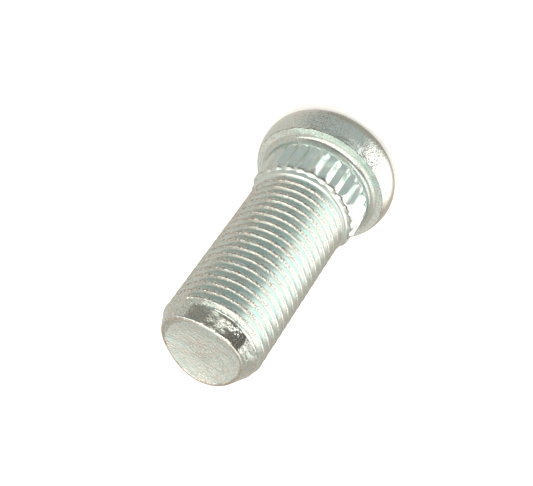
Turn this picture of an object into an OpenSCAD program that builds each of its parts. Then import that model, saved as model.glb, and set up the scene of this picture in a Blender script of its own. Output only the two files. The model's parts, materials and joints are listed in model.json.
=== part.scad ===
// Press-in threaded stud: one cold-forged steel piece that stands on the outer face of its head.
// Z runs along the axis, from the middle of the outer head face to the threaded tip. Lengths in mm.

/* [Head] */
// Diameter of the head at its widest
head_d = 18.44; // [16:0.1:22]
// Thickness of the head, from its outer face to the seat
head_h = 5.2; // [4.4:0.1:7]
// Distance of the widest point of the dome under the seat
widest_drop = 2.2; // [1.4:0.1:2.8]
// How far the sharp rim of the seat stands in from the widest point
seat_inset = 0.48; // [0.2:0.02:0.9]
// Radius of the lower dome, as a share of its height
dome_share = 1.27; // [1.05:0.01:1.6]
// Rounding between the dome and the flat outer face
face_round = 1; // [0.4:0.1:1.4]

/* [Knurl] */
// Diameter over the tooth crests, which the smooth collar shares
knurl_d = 14.3; // [13.8:0.02:15.4]
// Number of teeth
knurl_teeth = 26; // [20:1:32]
// Depth of the grooves between the teeth
groove_depth = 0.45; // [0.25:0.01:0.6]
// Width of the narrow flat left on each crest
crest_flat = 0.08; // [0.04:0.01:0.3]
// Height of the smooth collar between the seat and the grooves
collar_h = 1.2; // [1.1:0.1:2]
// Concave fillet between the seat and the collar
seat_fillet = 0.9; // [0.5:0.1:1.1]
// Length of full-height crest above the collar
crest_h = 2.8; // [2:0.05:6]
// Length over which the crests taper down to the bottom of the grooves
crest_taper_h = 1.4; // [0.6:0.05:2]
// Length over which each groove deepens from its shallow head end
groove_run_h = 0.85; // [0.4:0.05:1.5]
// Depth of a groove at its head end, as a share of its full depth
groove_start_share = 0.62; // [0.4:0.01:0.9]

/* [Shank] */
// How far the taper of the crests ends under the bottom of the grooves
taper_step = 0.02; // [0.01:0.01:0.1]
// Drop of the steep cone from that taper to the neck
neck_drop = 0.23; // [0.05:0.01:0.3]
// Length of that steep cone
neck_drop_h = 0.2; // [0.1:0.05:0.5]
// Length of the plain neck
neck_h = 0.3; // [0.1:0.05:2]
// Length of the cone from the neck down to the thread
shoulder_h = 0.9; // [0.5:0.05:1.5]
// Major diameter of the thread
thread_d = 12.7; // [12:0.1:13.2]
// Pitch of the thread, which sets the length of the lead cone at the tip
thread_pitch = 1.27; // [1:0.01:1.5]
// Length of the stud from the seat to the tip
shank_h = 31.4; // [24:0.2:60]

/* [Tip] */
// Length of the lead cone and its rounded end, in pitches
lead_turns = 1.9; // [1.5:0.1:3]
// Rounding at the outer edge of the end face
tip_round = 0.3; // [0.1:0.05:0.8]
// Diameter of the rim round the dished end face
end_rim_d = 9.7; // [8:0.1:10]
// Depth of the dish in the end face
dish_depth = 0.4; // [0.1:0.05:0.8]

/* [Hidden] */
$fn = 96;

// Head
head_r = head_d / 2;
seat_r = head_r - seat_inset;
widest_z = head_h - widest_drop;
lower_r = dome_share * widest_z;
lower_x = head_r - lower_r;
upper_r = (seat_inset * seat_inset + widest_drop * widest_drop) / (2 * seat_inset);
upper_x = head_r - upper_r;
face_x = lower_x + sqrt(pow(lower_r - face_round, 2) - pow(widest_z - face_round, 2));
face_angle = asin((widest_z - face_round) / (lower_r - face_round));
rim_angle = asin(widest_drop / upper_r);

// Knurl
knurl_r = knurl_d / 2;
root_r = knurl_r - groove_depth;
groove_z = head_h + collar_h;
crest_z = groove_z + crest_h;
taper_z = crest_z + crest_taper_h;
taper_r = root_r - taper_step;
tooth_angle = 360 / knurl_teeth;
groove_half_angle = tooth_angle / 2 - asin(crest_flat / 2 / knurl_r);
flank_x = knurl_r * cos(groove_half_angle) - root_r;
flank_slope = knurl_r * sin(groove_half_angle) / flank_x;
groove_rise = groove_depth * (1 - groove_start_share);
run_angle = atan(groove_rise / groove_run_h);
// The sloping cutter starts inside the collar, where the wall of the groove cuts it off
cutter_run_h = groove_run_h / cos(run_angle) + collar_h / 2;
// The cutters stand out past the crests, so that no face of a cutter meets the collar
cutter_out = 0.5;

// Shank and tip
neck_r = taper_r - neck_drop;
neck_z = taper_z + neck_drop_h;
shoulder_z = neck_z + neck_h;
thread_r = thread_d / 2;
thread_z = shoulder_z + shoulder_h;
tip_z = head_h + shank_h;
lead_z = tip_z - lead_turns * thread_pitch;
rim_r = end_rim_d / 2;
round_z = tip_z - tip_round;
lead_dx = thread_r - rim_r;
lead_dz = round_z - lead_z;
lead_angle = acos(tip_round / sqrt(lead_dx * lead_dx + lead_dz * lead_dz)) - atan(lead_dz / lead_dx);
dish_r = (rim_r * rim_r + dish_depth * dish_depth) / (2 * dish_depth);

// Sector of a circle about (x, z), from the lower angle to the higher one
module sector(x, z, r, low, high) {
    translate([x, z])
        intersection() {
            circle(r = r);
            polygon([
                [0, 0],
                2 * r * [cos(low), sin(low)],
                2 * r * [cos((low + high) / 2), sin((low + high) / 2)],
                2 * r * [cos(high), sin(high)]
            ]);
        }
}

// Half section of the head: a flat outer face and a dome that ends in the sharp rim of the seat
module head_section() {
    polygon([
        [0, 0],
        [face_x, 0],
        [face_x, face_round],
        [lower_x, widest_z],
        [upper_x, widest_z],
        [seat_r, head_h],
        [0, head_h]
    ]);
    sector(face_x, face_round, face_round, -90, -face_angle);
    sector(lower_x, widest_z, lower_r, -face_angle, 0);
    sector(upper_x, widest_z, upper_r, 0, rim_angle);
}

// Half section of the fillet that runs from the seat into the collar
module fillet_section() {
    difference() {
        translate([0, head_h])
            square([knurl_r + seat_fillet, seat_fillet]);
        translate([knurl_r + seat_fillet, head_h + seat_fillet])
            circle(r = seat_fillet);
    }
}

// Half section of the collar, knurl blank, neck, shoulder, thread cylinder and lead cone
module shank_section() {
    polygon([
        [0, head_h],
        [knurl_r, head_h],
        [knurl_r, crest_z],
        [taper_r, taper_z],
        [neck_r, neck_z],
        [neck_r, shoulder_z],
        [thread_r, thread_z],
        [thread_r, lead_z],
        [rim_r + tip_round * cos(lead_angle), round_z + tip_round * sin(lead_angle)],
        [rim_r, round_z],
        [rim_r, tip_z],
        [0, tip_z]
    ]);
    sector(rim_r, round_z, tip_round, lead_angle, 90);
}

// Triangle that one groove takes out of the blank, with its point at the bottom of the groove
module groove_triangle(bottom_r) {
    outer = knurl_r + cutter_out;
    polygon([
        [bottom_r, 0],
        [outer, -flank_slope * (outer - bottom_r)],
        [outer, flank_slope * (outer - bottom_r)]
    ]);
}

// One groove: a straight V, and a stretch at its head end where the V becomes shallower and stops at a wall
module groove() {
    full_z = groove_z + groove_run_h;
    difference() {
        union() {
            translate([0, 0, full_z])
                linear_extrude(height = neck_z - full_z)
                    groove_triangle(root_r);
            translate([root_r, 0, full_z])
                rotate([0, -run_angle, 0])
                    translate([0, 0, -cutter_run_h])
                        linear_extrude(height = cutter_run_h)
                            translate([-root_r, 0])
                                groove_triangle(root_r);
        }
        translate([0, -knurl_r / 2, head_h])
            cube([knurl_r + 2 * cutter_out, knurl_r, collar_h]);
    }
}

// The whole stud: turned section, dished end face and rolled knurl
module stud() {
    color("silver")
        difference() {
            rotate_extrude()
                union() {
                    head_section();
                    fillet_section();
                    shank_section();
                }
            translate([0, 0, tip_z - dish_depth + dish_r])
                sphere(r = dish_r);
            for (i = [0 : knurl_teeth - 1])
                rotate([0, 0, i * tooth_angle])
                    groove();
        }
}

stud();
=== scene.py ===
import json
import math

import bmesh
import bpy
from mathutils import Matrix, Quaternion, Vector


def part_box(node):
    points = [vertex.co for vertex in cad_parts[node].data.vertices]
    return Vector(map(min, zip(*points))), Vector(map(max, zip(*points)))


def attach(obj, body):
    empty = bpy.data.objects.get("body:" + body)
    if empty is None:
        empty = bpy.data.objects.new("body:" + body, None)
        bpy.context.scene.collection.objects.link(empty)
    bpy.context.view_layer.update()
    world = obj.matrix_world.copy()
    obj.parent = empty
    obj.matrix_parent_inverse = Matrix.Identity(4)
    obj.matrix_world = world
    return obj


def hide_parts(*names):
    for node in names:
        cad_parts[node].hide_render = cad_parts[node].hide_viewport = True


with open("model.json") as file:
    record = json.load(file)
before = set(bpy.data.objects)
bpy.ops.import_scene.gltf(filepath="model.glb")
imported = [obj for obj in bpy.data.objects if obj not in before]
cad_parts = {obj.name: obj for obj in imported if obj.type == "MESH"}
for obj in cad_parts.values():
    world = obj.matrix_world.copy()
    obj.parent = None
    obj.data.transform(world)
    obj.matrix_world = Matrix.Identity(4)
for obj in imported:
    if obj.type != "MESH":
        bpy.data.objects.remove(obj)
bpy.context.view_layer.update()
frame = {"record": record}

# The stud.
# One piece of steel wire: the head is cold forged on its end, the knurl and the right-hand thread are
# rolled on its shank, and the whole is zinc plated. The mesh is one closed skin, drawn in millimetres
# from the middle of the head's outer face, with its sizes as in the solid, and scaled to metres at the end.

MM = 0.001
mounts = {mount["name"]: mount for mount in frame["record"]["mounts"]}
stud_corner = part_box("stud")[1] / MM

# The head: a flat outer face, a dome made of two arcs, and a flat seat inside a sharp rim. A concave
# fillet runs from the seat into the smooth collar.
HEAD_R = stud_corner.x
HEAD_H = mounts["seat"]["pos_m"][2] / MM
WIDEST_Z = 3.0
LOWER_R = 3.81
SEAT_R = 8.74
FACE_ROUND = 1.0
SEAT_FILLET = 0.9
COLLAR_TOP = 6.4
KNURL_R = mounts["knurl"]["dims"]["r_mm"]


def arc(x, z, r, low, high, count):
    """Points on a circle about (x, z), between two angles in degrees, with the end points left out."""
    angles = [math.radians(low + (high - low) * i / (count + 1)) for i in range(1, count + 1)]
    return [(x + r * math.cos(a), z + r * math.sin(a)) for a in angles]


lower_x = HEAD_R - LOWER_R
face_drop = WIDEST_Z - FACE_ROUND
face_x = lower_x + math.sqrt((LOWER_R - FACE_ROUND) ** 2 - face_drop ** 2)
face_angle = math.degrees(math.asin(face_drop / (LOWER_R - FACE_ROUND)))
inset = HEAD_R - SEAT_R
drop = HEAD_H - WIDEST_Z
upper_r = (inset ** 2 + drop ** 2) / (2 * inset)
rim_angle = math.degrees(math.asin(drop / upper_r))
fillet_x = KNURL_R + SEAT_FILLET
fillet_z = HEAD_H + SEAT_FILLET

# The very edge of the sharp rim is broken, so that it catches the light as a thin line.
seat_rim = [(SEAT_R + 0.03, HEAD_H - 0.16), (SEAT_R, HEAD_H - 0.03), (SEAT_R - 0.03, HEAD_H),
            (SEAT_R - 0.09, HEAD_H)]

head_section = [(face_x * i / 3, 0) for i in range(4)]
head_section += arc(face_x, FACE_ROUND, FACE_ROUND, -90, -face_angle, 4)
head_section += arc(lower_x, WIDEST_Z, LOWER_R, -face_angle - 4, 0, 9)
head_section += [(HEAD_R, WIDEST_Z)]
head_section += arc(HEAD_R - upper_r, WIDEST_Z, upper_r, 0, rim_angle, 4)
head_section += seat_rim + [(fillet_x, HEAD_H)]
head_section += arc(fillet_x, fillet_z, SEAT_FILLET, 270, 180, 8)
head_section += [(KNURL_R, fillet_z), (KNURL_R, COLLAR_TOP)]

# The knurl: V grooves with flat flanks and a narrow flat left on each crest. Each groove becomes shallower
# at its head end and stops at a wall in the collar, and the crests taper down towards the neck.
TEETH = 26
ROOT_R = 6.7
CREST_FLAT = 0.08
GROOVE_WALL = 0.01
GROOVE_RUN = 0.85
GROOVE_START_SHARE = 0.62
CREST_END = 9.2
TAPER_END = 10.6
TAPER_STEP = 0.02
TAPER_POWER = 3
TAPER_RINGS = 12
# The bottom of a groove is rounded over this angle about the axis, in radians.
BOTTOM_ROUND = 0.018
# Crests and grooves end in a scalloped line round the neck: its height, and how far above it starts.
SCALLOP = 0.1
SCALLOP_REACH = 0.3

STEPS_PER_TOOTH = 8
STEPS = TEETH * STEPS_PER_TOOTH
TOOTH_ANGLE = 2 * math.pi / TEETH


def groove_radius(angle, z):
    """Distance from the axis to the flank of the nearest groove, at an angle in radians."""
    phi = abs((angle + TOOTH_ANGLE / 2) % TOOTH_ANGLE - TOOTH_ANGLE / 2)
    half = TOOTH_ANGLE / 2 - math.asin(CREST_FLAT / 2 / KNURL_R)
    phi_round = math.hypot(phi, BOTTOM_ROUND) - BOTTOM_ROUND
    half_round = math.hypot(half, BOTTOM_ROUND) - BOTTOM_ROUND
    slope = (KNURL_R * math.cos(half) - ROOT_R) / (KNURL_R * math.sin(half_round))
    run = max(0, 1 - (z - COLLAR_TOP) / GROOVE_RUN)
    bottom = ROOT_R + (KNURL_R - ROOT_R) * (1 - GROOVE_START_SHARE) * run
    return bottom / (math.cos(phi) - slope * math.sin(phi_round))


# The shank beyond the knurl: a plain neck, a cone up to the thread, and a lead whose cone runs straight
# from the thread to where it touches the rounding of the rim at the tip.
NECK_R = 6.45
NECK_LOW = 10.8
NECK_HIGH = 11.1
SHOULDER_TOP = 12.0
THREAD_R = mounts["thread"]["dims"]["r_mm"]
LEAD_Z = 34.19
TIP_Z = stud_corner.z
TIP_ROUND = 0.3
RIM_R = 4.85

round_z = TIP_Z - TIP_ROUND
lead_dx = THREAD_R - RIM_R
lead_dz = round_z - LEAD_Z
lead_angle = math.acos(TIP_ROUND / math.hypot(lead_dx, lead_dz)) - math.atan(lead_dz / lead_dx)
lead_end = (RIM_R + TIP_ROUND * math.cos(lead_angle), round_z + TIP_ROUND * math.sin(lead_angle))
shank_line = [(KNURL_R, COLLAR_TOP), (KNURL_R, CREST_END), (ROOT_R - TAPER_STEP, TAPER_END),
              (NECK_R, NECK_LOW), (NECK_R, NECK_HIGH), (THREAD_R, SHOULDER_TOP),
              (THREAD_R, LEAD_Z), lead_end]


def shell_radius(z):
    """Radius of the plain outer surface of the shank at height z: every crest ends on it."""
    if CREST_END < z < TAPER_END:
        fall = ((z - CREST_END) / (TAPER_END - CREST_END)) ** TAPER_POWER
        return KNURL_R - (KNURL_R - ROOT_R + TAPER_STEP) * fall
    for (r0, z0), (r1, z1) in zip(shank_line, shank_line[1:]):
        if z <= z1:
            return r0 + (r1 - r0) * max(0, z - z0) / (z1 - z0)
    return lead_end[0]


# The head, the collar, the knurl and the neck are turned in one go, up to where the thread starts, and
# the grooves are then pressed into the knurl. The thread's own mesh fills the shank between two heights.
THREAD_LOW = 11.12
THREAD_HIGH = 36.0


def add_chain(bm, points):
    """A chain of edges in the XZ plane, from (radius, height) pairs."""
    verts = [bm.verts.new((r, 0, z)) for r, z in points]
    return verts + [bm.edges.new(pair) for pair in zip(verts, verts[1:])]


def turn(bm, points):
    """Spins a half section a full turn about the axis and returns the vertices it made."""
    before = set(bm.verts)
    bmesh.ops.spin(bm, geom=add_chain(bm, points), cent=(0, 0, 0), axis=(0, 0, 1),
                   angle=2 * math.pi, steps=STEPS, use_merge=True)
    return [v for v in bm.verts if v not in before]


def scale_radius(v, target):
    """Moves a vertex straight out from the axis, or towards it, to the given radius."""
    r = math.hypot(v.co.x, v.co.y)
    v.co.x *= target / r
    v.co.y *= target / r


run_end = COLLAR_TOP + GROOVE_RUN
knurl_heights = [COLLAR_TOP + GROOVE_WALL, COLLAR_TOP + GROOVE_RUN / 3, COLLAR_TOP + GROOVE_RUN * 2 / 3]
knurl_heights += [run_end + (CREST_END - run_end) * i / 4 for i in range(5)]
knurl_heights += [CREST_END + (TAPER_END - CREST_END) * i / TAPER_RINGS for i in range(1, TAPER_RINGS + 1)]

bm = bmesh.new()
turned = turn(bm, head_section + [(shell_radius(z), z) for z in knurl_heights]
              + [(NECK_R, NECK_LOW), (shell_radius(THREAD_LOW), THREAD_LOW)])
for v in turned:
    angle = math.atan2(v.co.y, v.co.x)
    if COLLAR_TOP + GROOVE_WALL / 2 < v.co.z < TAPER_END + GROOVE_WALL:
        groove = groove_radius(angle, v.co.z)
        scale_radius(v, min(math.hypot(v.co.x, v.co.y), groove))
    if TAPER_END - SCALLOP_REACH < v.co.z < NECK_LOW + GROOVE_WALL:
        v.co.z -= SCALLOP * math.cos(TEETH * angle)

# Cutting the wire left the rim at the tip uneven, and the lead with it. Each wave in the rim's radius has
# the number of times it goes round, its height in mm and its place in degrees. The first is even all round.
RIM_WAVES = [(0, 0.05, 0), (1, 0.137, -132), (2, 0.178, -69), (3, 0.257, 98)]
UNEVEN_FROM = LEAD_Z - 0.6


def smooth_step(low, high, x):
    """0 under low, 1 over high, and a smooth S between them."""
    s = min(1, max(0, (x - low) / (high - low)))
    return s * s * (3 - 2 * s)


def unevenness(angle, z):
    """How far the uneven rim pushes the lead out at this place, in mm."""
    wave = sum(height * math.cos(k * angle - math.radians(place)) for k, height, place in RIM_WAVES)
    return wave * smooth_step(UNEVEN_FROM, TIP_Z, z)


# The tip: the cone of the lead rounds over to a narrow rim, and a shallow dish lies inside the rim. The
# dish, given as radius and depth, is flatter in the middle than a ball would leave it.
dish = [(RIM_R, 0), (4.73, 0.01), (4.6, 0.04), (4.4, 0.07), (4.15, 0.12), (3.7, 0.2), (3.2, 0.29),
        (2.6, 0.35), (1.9, 0.38), (1.1, 0.395), (0.5, 0.4), (0, 0.4)]
DISH_DEPTH = dish[-1][1]
tip_section = [(shell_radius(z), z) for z in (THREAD_HIGH, (THREAD_HIGH + round_z) / 2, round_z)]
tip_section += [lead_end] + arc(RIM_R, round_z, TIP_ROUND, math.degrees(lead_angle), 90, 4)
tip_section += [(r, TIP_Z - depth) for r, depth in dish]
for v in turn(bm, tip_section):
    r = math.hypot(v.co.x, v.co.y)
    if r > 1e-6:
        push = unevenness(math.atan2(v.co.y, v.co.x), v.co.z)
        scale_radius(v, r + push * min(1, r / RIM_R))

# The thread: one pitch of the rolled profile is swept round one turn of the helix, and the turn is
# copied up the shank. It fades in above the neck and fades out on the lead.
PITCH = 1.27
THREAD_DEPTH = 0.613 * PITCH
THREAD_START = 8.9
TURNS = 22
FADE_IN_TOP = 11.75
FADE_OUT = (34.6, 35.6)
# One side of a ridge, from its rounded crest to the middle of the root. Each pair is a share of the pitch
# and a share of the thread's depth.
ridge_side = [(0.57, 0), (0.61, 0.006), (0.634, 0.03), (0.65, 0.068), (0.8, 0.492), (0.89, 0.746),
              (0.945, 0.86), (1, 0.88)]
ridge = [(1 - share, depth) for share, depth in reversed(ridge_side)] + ridge_side

before_thread = set(bm.verts)
chain = add_chain(bm, [(THREAD_R - THREAD_DEPTH * depth, THREAD_START + PITCH * share)
                       for share, depth in ridge])
bmesh.ops.spin(bm, geom=chain, cent=(0, 0, 0), axis=(0, 0, 1), dvec=(0, 0, PITCH / STEPS),
               angle=2 * math.pi, steps=STEPS, use_merge=False)
thread = [v for v in bm.verts if v not in before_thread]
first_turn = thread + list({e for v in thread for e in v.link_edges})
first_turn += list({f for v in thread for f in v.link_faces})
for k in range(1, TURNS):
    copied = bmesh.ops.duplicate(bm, geom=first_turn)["geom"]
    verts = [g for g in copied if isinstance(g, bmesh.types.BMVert)]
    bmesh.ops.translate(bm, verts=verts, vec=(0, 0, k * PITCH))
    thread += verts
# Each turn of the thread joins the next.
bmesh.ops.remove_doubles(bm, verts=thread, dist=0.0008)
thread = [v for v in bm.verts if v not in before_thread]
for v in thread:
    shell = shell_radius(v.co.z)
    rolled = math.hypot(v.co.x, v.co.y)
    fade = smooth_step(THREAD_LOW, FADE_IN_TOP, v.co.z) * (1 - smooth_step(*FADE_OUT, v.co.z))
    r = min(shell, shell + (rolled - shell) * fade)
    scale_radius(v, r + unevenness(math.atan2(v.co.y, v.co.x), v.co.z))

# Both ends of the thread are cut level, and the cut's vertices go to the nearest step of the turn, so
# that it meets the neck and the tip vertex to vertex.
for cut_z, side in ((THREAD_LOW, -1), (THREAD_HIGH, 1)):
    strip = {v for v in bm.verts if v not in before_thread}
    geom = list(strip) + list({e for v in strip for e in v.link_edges})
    geom += list({f for v in strip for f in v.link_faces})
    bmesh.ops.bisect_plane(bm, geom=geom, plane_co=(0, 0, cut_z), plane_no=(0, 0, side),
                           clear_outer=True)
    for v in bm.verts:
        if v not in before_thread and abs(v.co.z - cut_z) < 1e-4:
            step = round(math.atan2(v.co.y, v.co.x) / (2 * math.pi) * STEPS)
            angle = step / STEPS * 2 * math.pi
            r = shell_radius(cut_z) + unevenness(angle, cut_z)
            v.co = (r * math.cos(angle), r * math.sin(angle), cut_z)

# The head, the thread and the tip join to one closed skin.
bmesh.ops.remove_doubles(bm, verts=bm.verts, dist=0.001)
bmesh.ops.recalc_face_normals(bm, faces=bm.faces)
for f in bm.faces:
    f.smooth = True
for e in bm.edges:
    e.smooth = e.calc_face_angle(0) < math.radians(35)

# The finish of the surface, kept on the mesh for the material: how far the zinc is worn through, how brown
# it is, from stains and from painted dark reflections, and how matt, how grainy, how dented and how
# scratched it is. The wear on the crests also carries painted dark reflection. 0 is not at all.
DOME_TOP = HEAD_H - 0.15
NECK_TOP = 11.6
# A crest wears away over this band of radius.
CREST_BAND = (THREAD_R - 0.1, THREAD_R - 0.02)
# Marks on the dome, each with its middle and its reach in degrees round the axis.
# The first mark is a painted dark reflection: where the dome mirrors a dark part of the room it is painted
# brown, and it is grainier there.
PAINTED_DARK_REFLECTION = (52, 20)
BROWNED = (105, 30)
WORN = (10, 40)
DENTED = (68, 34)


def near(angle, middle, reach):
    """1 in the middle of a mark, falling evenly to 0 at its reach on both sides."""
    return max(0, 1 - abs(angle - middle) / reach)


def finish_at(angle, r, z):
    """Strength of each kind of finish at a point, with the angle in degrees."""
    if z < DOME_TOP:
        # The first mark on the dome is painted brown as a dark reflection of a dark part of the room, and
        # is grainier; the second is a brown stain.
        darkened = near(angle, *PAINTED_DARK_REFLECTION)
        return {"stained": 0.05 + 0.95 * darkened + 0.55 * near(angle, *BROWNED),
                "worn": 0.25 + 0.8 * near(angle, *WORN),
                "grainy": 0.3 + 0.9 * darkened,
                "dented": 0.2 + 1.2 * smooth_step(3.4, 4.4, z) * near(angle, *DENTED)}
    # The seat is satin, and dirt has settled on its sharp rim.
    if z < fillet_z and r > KNURL_R:
        satin = 0.4 + 0.4 * smooth_step(fillet_x - 0.2, fillet_x + 0.1, r)
        return {"stained": 1.2 if r > SEAT_R - 0.05 else 0.42, "matt": satin, "grainy": 0.2}
    if z < COLLAR_TOP + GROOVE_WALL / 2:
        return {"matt": 0.6, "grainy": 0.3}
    # Dirt has settled where the grooves of the knurl run out.
    if z < TAPER_END:
        return {"stained": 0.5 * smooth_step(TAPER_END - 0.9, TAPER_END, z), "matt": 0.1, "grainy": 0.4,
                "dented": 0.3}
    if z < NECK_TOP:
        return {"matt": 0.8, "grainy": 0.3, "dented": 0.3}
    # The flanks are rolled smooth. The crests are rough and brownish. On the left of the thread they are
    # painted browner and pinker, a painted dark reflection of the dark part of the room that they mirror.
    if z < LEAD_Z:
        crest = smooth_step(*CREST_BAND, r)
        left = smooth_step(42, 66, angle)
        return {"stained": (0.35 + 0.35 * left) * crest, "worn": (0.5 + 0.25 * left) * crest,
                "grainy": 0.03 + (0.6 + 0.6 * left) * crest, "dented": 0.1}
    # The rim at the tip is worn through to the steel, and the end face inside it is scratched.
    if z > TIP_Z - 0.03 and r > 4.6:
        return {"worn": 1.2, "grainy": 0.3}
    if z > TIP_Z - DISH_DEPTH - 0.1 and r < 4.7:
        middle = 1 - smooth_step(1, 3, r)
        return {"worn": 0.15 + 0.35 * middle, "grainy": 1, "dented": 0.6, "scratched": 1}
    # The lead is painted brown all round, a painted dark reflection of the dark room it mirrors, with a
    # little wear and deep dents.
    return {"stained": 0.35, "worn": 0.2, "grainy": 0.04, "dented": 1}


FINISHES = ("stained", "worn", "matt", "grainy", "dented", "scratched")
layers = {name: bm.verts.layers.float.new(name) for name in FINISHES}
for v in bm.verts:
    angle = math.degrees(math.atan2(v.co.y, v.co.x))
    for name, strength in finish_at(angle, math.hypot(v.co.x, v.co.y), v.co.z).items():
        v[layers[name]] = strength

bmesh.ops.scale(bm, vec=(MM, MM, MM), verts=bm.verts)
mesh = bpy.data.meshes.new("stud_skin")
bm.to_mesh(mesh)
bm.free()
stud = bpy.data.objects.new("stud_skin", mesh)
bpy.context.scene.collection.objects.link(stud)


def linear(hex_colour):
    """An sRGB hex colour as linear RGBA."""
    parts = [int(hex_colour[i:i + 2], 16) / 255 for i in (1, 3, 5)]
    return [c / 12.92 if c <= 0.04045 else ((c + 0.055) / 1.055) ** 2.4 for c in parts] + [1]


def add_node(tree, kind, settings=None, inputs=None):
    """Adds a node with its settings and its inputs, each a value or the socket to link from."""
    node = tree.nodes.new(kind)
    for name, value in (settings or {}).items():
        setattr(node, name, value)
    for name, value in (inputs or {}).items():
        if isinstance(value, bpy.types.NodeSocket):
            tree.links.new(value, node.inputs[name])
        else:
            node.inputs[name].default_value = value
    return node


# Clear passivated zinc, plated on cold forged steel. It gives the eye a bright, slightly blue-green metal
# that is a little cloudy and sparkles in a fine grain, pinkish grey where it is worn through, with brown
# stains. The same brown, and on the crests the pinkish grey, is also painted on as dark reflection where
# the dome, the crests and the lead mirror dark parts of the room. Sizes and depths are in mm. Real zinc
# grain is too fine to show, so it is drawn 0.15 mm wide.
GRAIN_SIZE = 0.154
GRAIN_DEPTH = 0.04
CLOUD_SIZE = 1.25
DENT_DEPTH = 0.15
SCRATCH_SIZE = (1.2, 0.22, 1)
SCRATCH_DEPTH = 0.1
SCRATCH_TURN = -15
MATT_ROUGHNESS = 0.22
COOL_ZINC = "#CADDDC"
WARM_ZINC = "#D2DBD7"
# The brown paints stains and also dark reflections on the dome, the crests and the lead; the steel colour
# paints wear and, on the crests, dark reflection too.
BARE_STEEL_AND_PAINTED_REFLECTION = "#B59C8C"
BROWN_STAIN_AND_PAINTED_REFLECTION = "#6E5F54"
# A Mix node's sockets for colour go by number, because several of them share one name.
FACTOR, FIRST, SECOND, MIXED = 0, 6, 7, 2

zinc = bpy.data.materials.new("clear_passivated_zinc_on_cold_forged_steel")
zinc.use_nodes = True
tree = zinc.node_tree
shader = tree.nodes["Principled BSDF"]
shader.inputs["Metallic"].default_value = 1
place = add_node(tree, "ShaderNodeTexCoord").outputs["Object"]
finish = {name: add_node(tree, "ShaderNodeAttribute", {"attribute_name": name}).outputs["Fac"]
          for name in FINISHES}
grain = add_node(tree, "ShaderNodeTexNoise", None,
                 {"Vector": place, "Scale": 1 / (GRAIN_SIZE * MM), "Detail": 2}).outputs["Fac"]
cloud = add_node(tree, "ShaderNodeTexNoise", None,
                 {"Vector": place, "Scale": 1 / (CLOUD_SIZE * MM), "Detail": 3}).outputs["Fac"]

# Colour: two shades of zinc in clouds, then the specks of steel where it is worn, then the brown of stains
# and of painted dark reflections. On the crests the steel's specks also paint dark reflection.
clouds = add_node(tree, "ShaderNodeMapRange", None, {"Value": cloud, "From Min": 0.35, "From Max": 0.65})
plain = add_node(tree, "ShaderNodeMix", {"data_type": "RGBA"},
                 {FACTOR: clouds.outputs[0], FIRST: linear(COOL_ZINC), SECOND: linear(WARM_ZINC)})
specks = add_node(tree, "ShaderNodeMapRange", None, {"Value": grain, "From Min": 0.42, "From Max": 0.62,
                                                      "To Min": 0.15, "To Max": 0.7})
worn = add_node(tree, "ShaderNodeMath", {"operation": "MULTIPLY"},
                {0: finish["worn"], 1: specks.outputs[0]})
darkened = add_node(tree, "ShaderNodeMix", {"data_type": "RGBA"},
                  {FACTOR: worn.outputs[0], FIRST: plain.outputs[MIXED], SECOND: linear(BARE_STEEL_AND_PAINTED_REFLECTION)})
blots = add_node(tree, "ShaderNodeMapRange", None, {"Value": grain, "From Min": 0.46, "From Max": 0.6})
stained = add_node(tree, "ShaderNodeMath", {"operation": "MULTIPLY", "use_clamp": True},
                   {0: finish["stained"], 1: blots.outputs[0]})
colour = add_node(tree, "ShaderNodeMix", {"data_type": "RGBA"},
                  {FACTOR: stained.outputs[0], FIRST: darkened.outputs[MIXED], SECOND: linear(BROWN_STAIN_AND_PAINTED_REFLECTION)})
tree.links.new(colour.outputs[MIXED], shader.inputs["Base Color"])

# Gloss: bright zinc, with the matt places rougher.
bright = add_node(tree, "ShaderNodeMapRange", None, {"Value": grain, "From Min": 0.3, "From Max": 0.7,
                                                      "To Min": 0.15, "To Max": 0.24})
roughness = add_node(tree, "ShaderNodeMath", {"operation": "MULTIPLY_ADD"},
                     {0: finish["matt"], 1: MATT_ROUGHNESS, 2: bright.outputs[0]})
tree.links.new(roughness.outputs[0], shader.inputs["Roughness"])

# Relief: soft dents, then the grain, then scratches that run across the end face.
dents = add_node(tree, "ShaderNodeBump", None,
                 {"Height": cloud, "Strength": finish["dented"], "Distance": DENT_DEPTH * MM})
grains = add_node(tree, "ShaderNodeBump", None,
                  {"Height": grain, "Strength": finish["grainy"], "Distance": GRAIN_DEPTH * MM,
                   "Normal": dents.outputs["Normal"]})
across = add_node(tree, "ShaderNodeMapping", {"vector_type": "TEXTURE"},
                  {"Vector": place, "Rotation": (0, 0, math.radians(SCRATCH_TURN)),
                   "Scale": [size * MM for size in SCRATCH_SIZE]})
streaks = add_node(tree, "ShaderNodeTexNoise", None,
                   {"Vector": across.outputs[0], "Scale": 1, "Detail": 2, "Distortion": 1.5})
scratches = add_node(tree, "ShaderNodeBump", None,
                     {"Height": streaks.outputs["Fac"], "Strength": finish["scratched"],
                      "Distance": SCRATCH_DEPTH * MM, "Normal": grains.outputs["Normal"]})
tree.links.new(scratches.outputs["Normal"], shader.inputs["Normal"])
mesh.materials.append(zinc)

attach(stud, "root")
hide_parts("stud")

# The floor.
# A plain sheet of matt white paper that keeps the stud's shadow. It is left out of the metal's
# reflections, because the photographed stud mirrors a darker room and not a white sheet.
FLOOR_SIZE = 4
PAPER_GLOW = 0.3

bpy.ops.mesh.primitive_plane_add(size=FLOOR_SIZE, location=(0, 0, 0))
floor = bpy.context.object
floor.name = "floor"
floor.visible_glossy = False
paper = bpy.data.materials.new("white_paper")
paper.use_nodes = True
tree = paper.node_tree
shader = tree.nodes["Principled BSDF"]
shader.inputs["Base Color"].default_value = linear("#F5F5F5")
shader.inputs["Roughness"].default_value = 0.9
shader.inputs["Emission Color"].default_value = linear("#FFFFFF")
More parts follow.
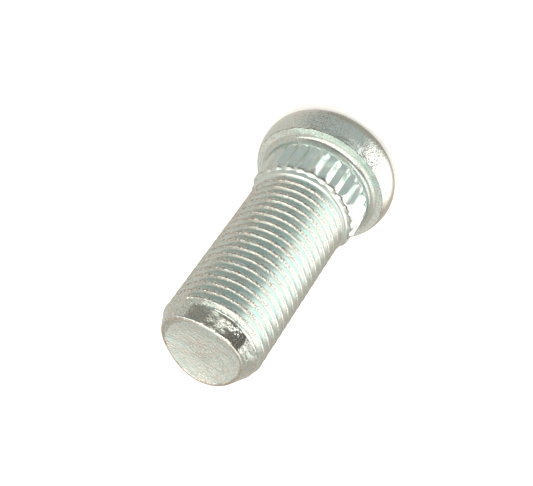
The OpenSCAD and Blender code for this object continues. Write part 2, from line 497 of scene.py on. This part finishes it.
# The paper is whitened for the camera alone, so that its glow puts no light on the stud.
seen = add_node(tree, "ShaderNodeLightPath").outputs["Is Camera Ray"]
glow = add_node(tree, "ShaderNodeMath", {"operation": "MULTIPLY"}, {0: seen, 1: PAPER_GLOW})
tree.links.new(glow.outputs[0], shader.inputs["Emission Strength"])
floor.data.materials.append(paper)

# The room.
# A warm grey room with soft light and dark areas in it, which the metal mirrors. Their places follow
# from what each surface of the stud mirrors towards the camera. The camera itself sees plain white.
ROOM = (0.7, 0.62, 0.545, 1)
# Azimuths are counted from the photograph's right, which is this many degrees from the stud's X axis.
PHOTO_TURN = -13.07
# Each area has the azimuth and elevation of its middle, how far from there it is full and where it ends,
# all in degrees, and its colour. A later one lies over the earlier ones.
areas = [
    (215, -10, 30, 80, (0.86, 0.77, 0.69)),  # warm wall on the left
    (108, -32, 24, 60, (0.62, 0.62, 0.59)),  # grey sheet in front
    (82, -2, 8, 18, (1.1, 1.12, 1.08)),  # bright strip at the horizon
    (14, -32, 22, 44, (2.4, 2.3, 2.15)),  # soft box on the right, low down
    (38, -9, 14, 36, (2.35, 2.25, 2.15)),  # near edge of that soft box
    (94, 26, 18, 36, (0.26, 0.22, 0.19)),  # dark shape behind the camera
    (138, 24, 10, 28, (0.36, 0.31, 0.27)),  # dark corner to its left
    (50, 28, 14, 30, (0.14, 0.11, 0.09)),  # black stand to its right
    (95, 66, 16, 40, (1.8, 1.65, 1.45)),  # pale ceiling
    (-8, 58, 14, 30, (1.9, 1.8, 1.65)),  # white board, high on the right
    (266, 59, 7, 15, (2.4, 2.15, 1.95)),  # small lamp, high at the back
    (90, -90, 12, 30, (0.5, 0.45, 0.38)),  # shade under the stud
]


def toward(azimuth, elevation):
    """Unit vector from the stud to a place in the room."""
    az, el = math.radians(azimuth + PHOTO_TURN), math.radians(elevation)
    return Vector((math.cos(el) * math.cos(az), math.cos(el) * math.sin(az), math.sin(el)))


world = bpy.data.worlds.new("room")
bpy.context.scene.world = world
world.use_nodes = True
tree = world.node_tree
direction = add_node(tree, "ShaderNodeTexCoord").outputs["Generated"]
light = ROOM
for azimuth, elevation, full, end, area_colour in areas:
    aim = add_node(tree, "ShaderNodeVectorMath", {"operation": "DOT_PRODUCT"},
                   {0: direction, 1: toward(azimuth, elevation)})
    weight = add_node(tree, "ShaderNodeMapRange", {"interpolation_type": "SMOOTHSTEP"},
                      {"Value": aim.outputs["Value"], "From Min": math.cos(math.radians(end)),
                       "From Max": math.cos(math.radians(full))})
    light = add_node(tree, "ShaderNodeMix", {"data_type": "RGBA"},
                     {FACTOR: weight.outputs["Result"], FIRST: light,
                      SECOND: (*area_colour, 1)}).outputs[MIXED]
seen = add_node(tree, "ShaderNodeLightPath").outputs["Is Camera Ray"]
backdrop = add_node(tree, "ShaderNodeMix", {"data_type": "RGBA"},
                    {FACTOR: seen, FIRST: light, SECOND: (1, 1, 1, 1)})
tree.links.new(backdrop.outputs[MIXED], tree.nodes["Background"].inputs["Color"])

# The lamp.
# A long, narrow strip box overhead on the camera's side, half a metre away. It draws the bright lines
# along the crests of the thread.
STRIP_PLACE = (112, 55)
STRIP_DISTANCE = 0.5

strip = bpy.data.lights.new("strip_box", "AREA")
strip.shape = "RECTANGLE"
strip.size = 1
strip.size_y = 0.06
strip.energy = 1.2
strip.color = (1, 0.94, 0.86)
strip_box = bpy.data.objects.new("strip_box", strip)
strip_box.location = toward(*STRIP_PLACE) * STRIP_DISTANCE
strip_box.rotation_euler = strip_box.location.to_track_quat("Z", "Y").to_euler()
bpy.context.scene.collection.objects.link(strip_box)

# The camera.
# Its place and lens were fitted to the rings of the head and the edges of the shank. It looks down at
# the stud's front, rolled until the stud leans as it does in the photograph.
IMAGE_WIDTH = 533
FOCAL_PIXELS = 1324.62
SENSOR = 36
CAMERA_PLACE = (90, 39.66)
CAMERA_ROLL = -144.99
# The middle of the head's outer face as the camera sees it: right, up and towards the camera, in mm.
FACE_SEEN = Vector((8.909, 10.723, -171.789))

camera_data = bpy.data.cameras.new("camera")
camera_data.sensor_width = SENSOR
camera_data.lens = FOCAL_PIXELS * SENSOR / IMAGE_WIDTH
camera_data.clip_start = 0.01
camera = bpy.data.objects.new("camera", camera_data)
bpy.context.scene.collection.objects.link(camera)
level = toward(*CAMERA_PLACE).to_track_quat("Z", "Y")
rolled = level @ Quaternion((0, 0, 1), math.radians(CAMERA_ROLL))
camera.matrix_world = Matrix.Translation(rolled @ FACE_SEEN * -MM) @ rolled.to_matrix().to_4x4()
bpy.context.scene.camera = camera

bpy.context.scene.view_settings.view_transform = "Standard"
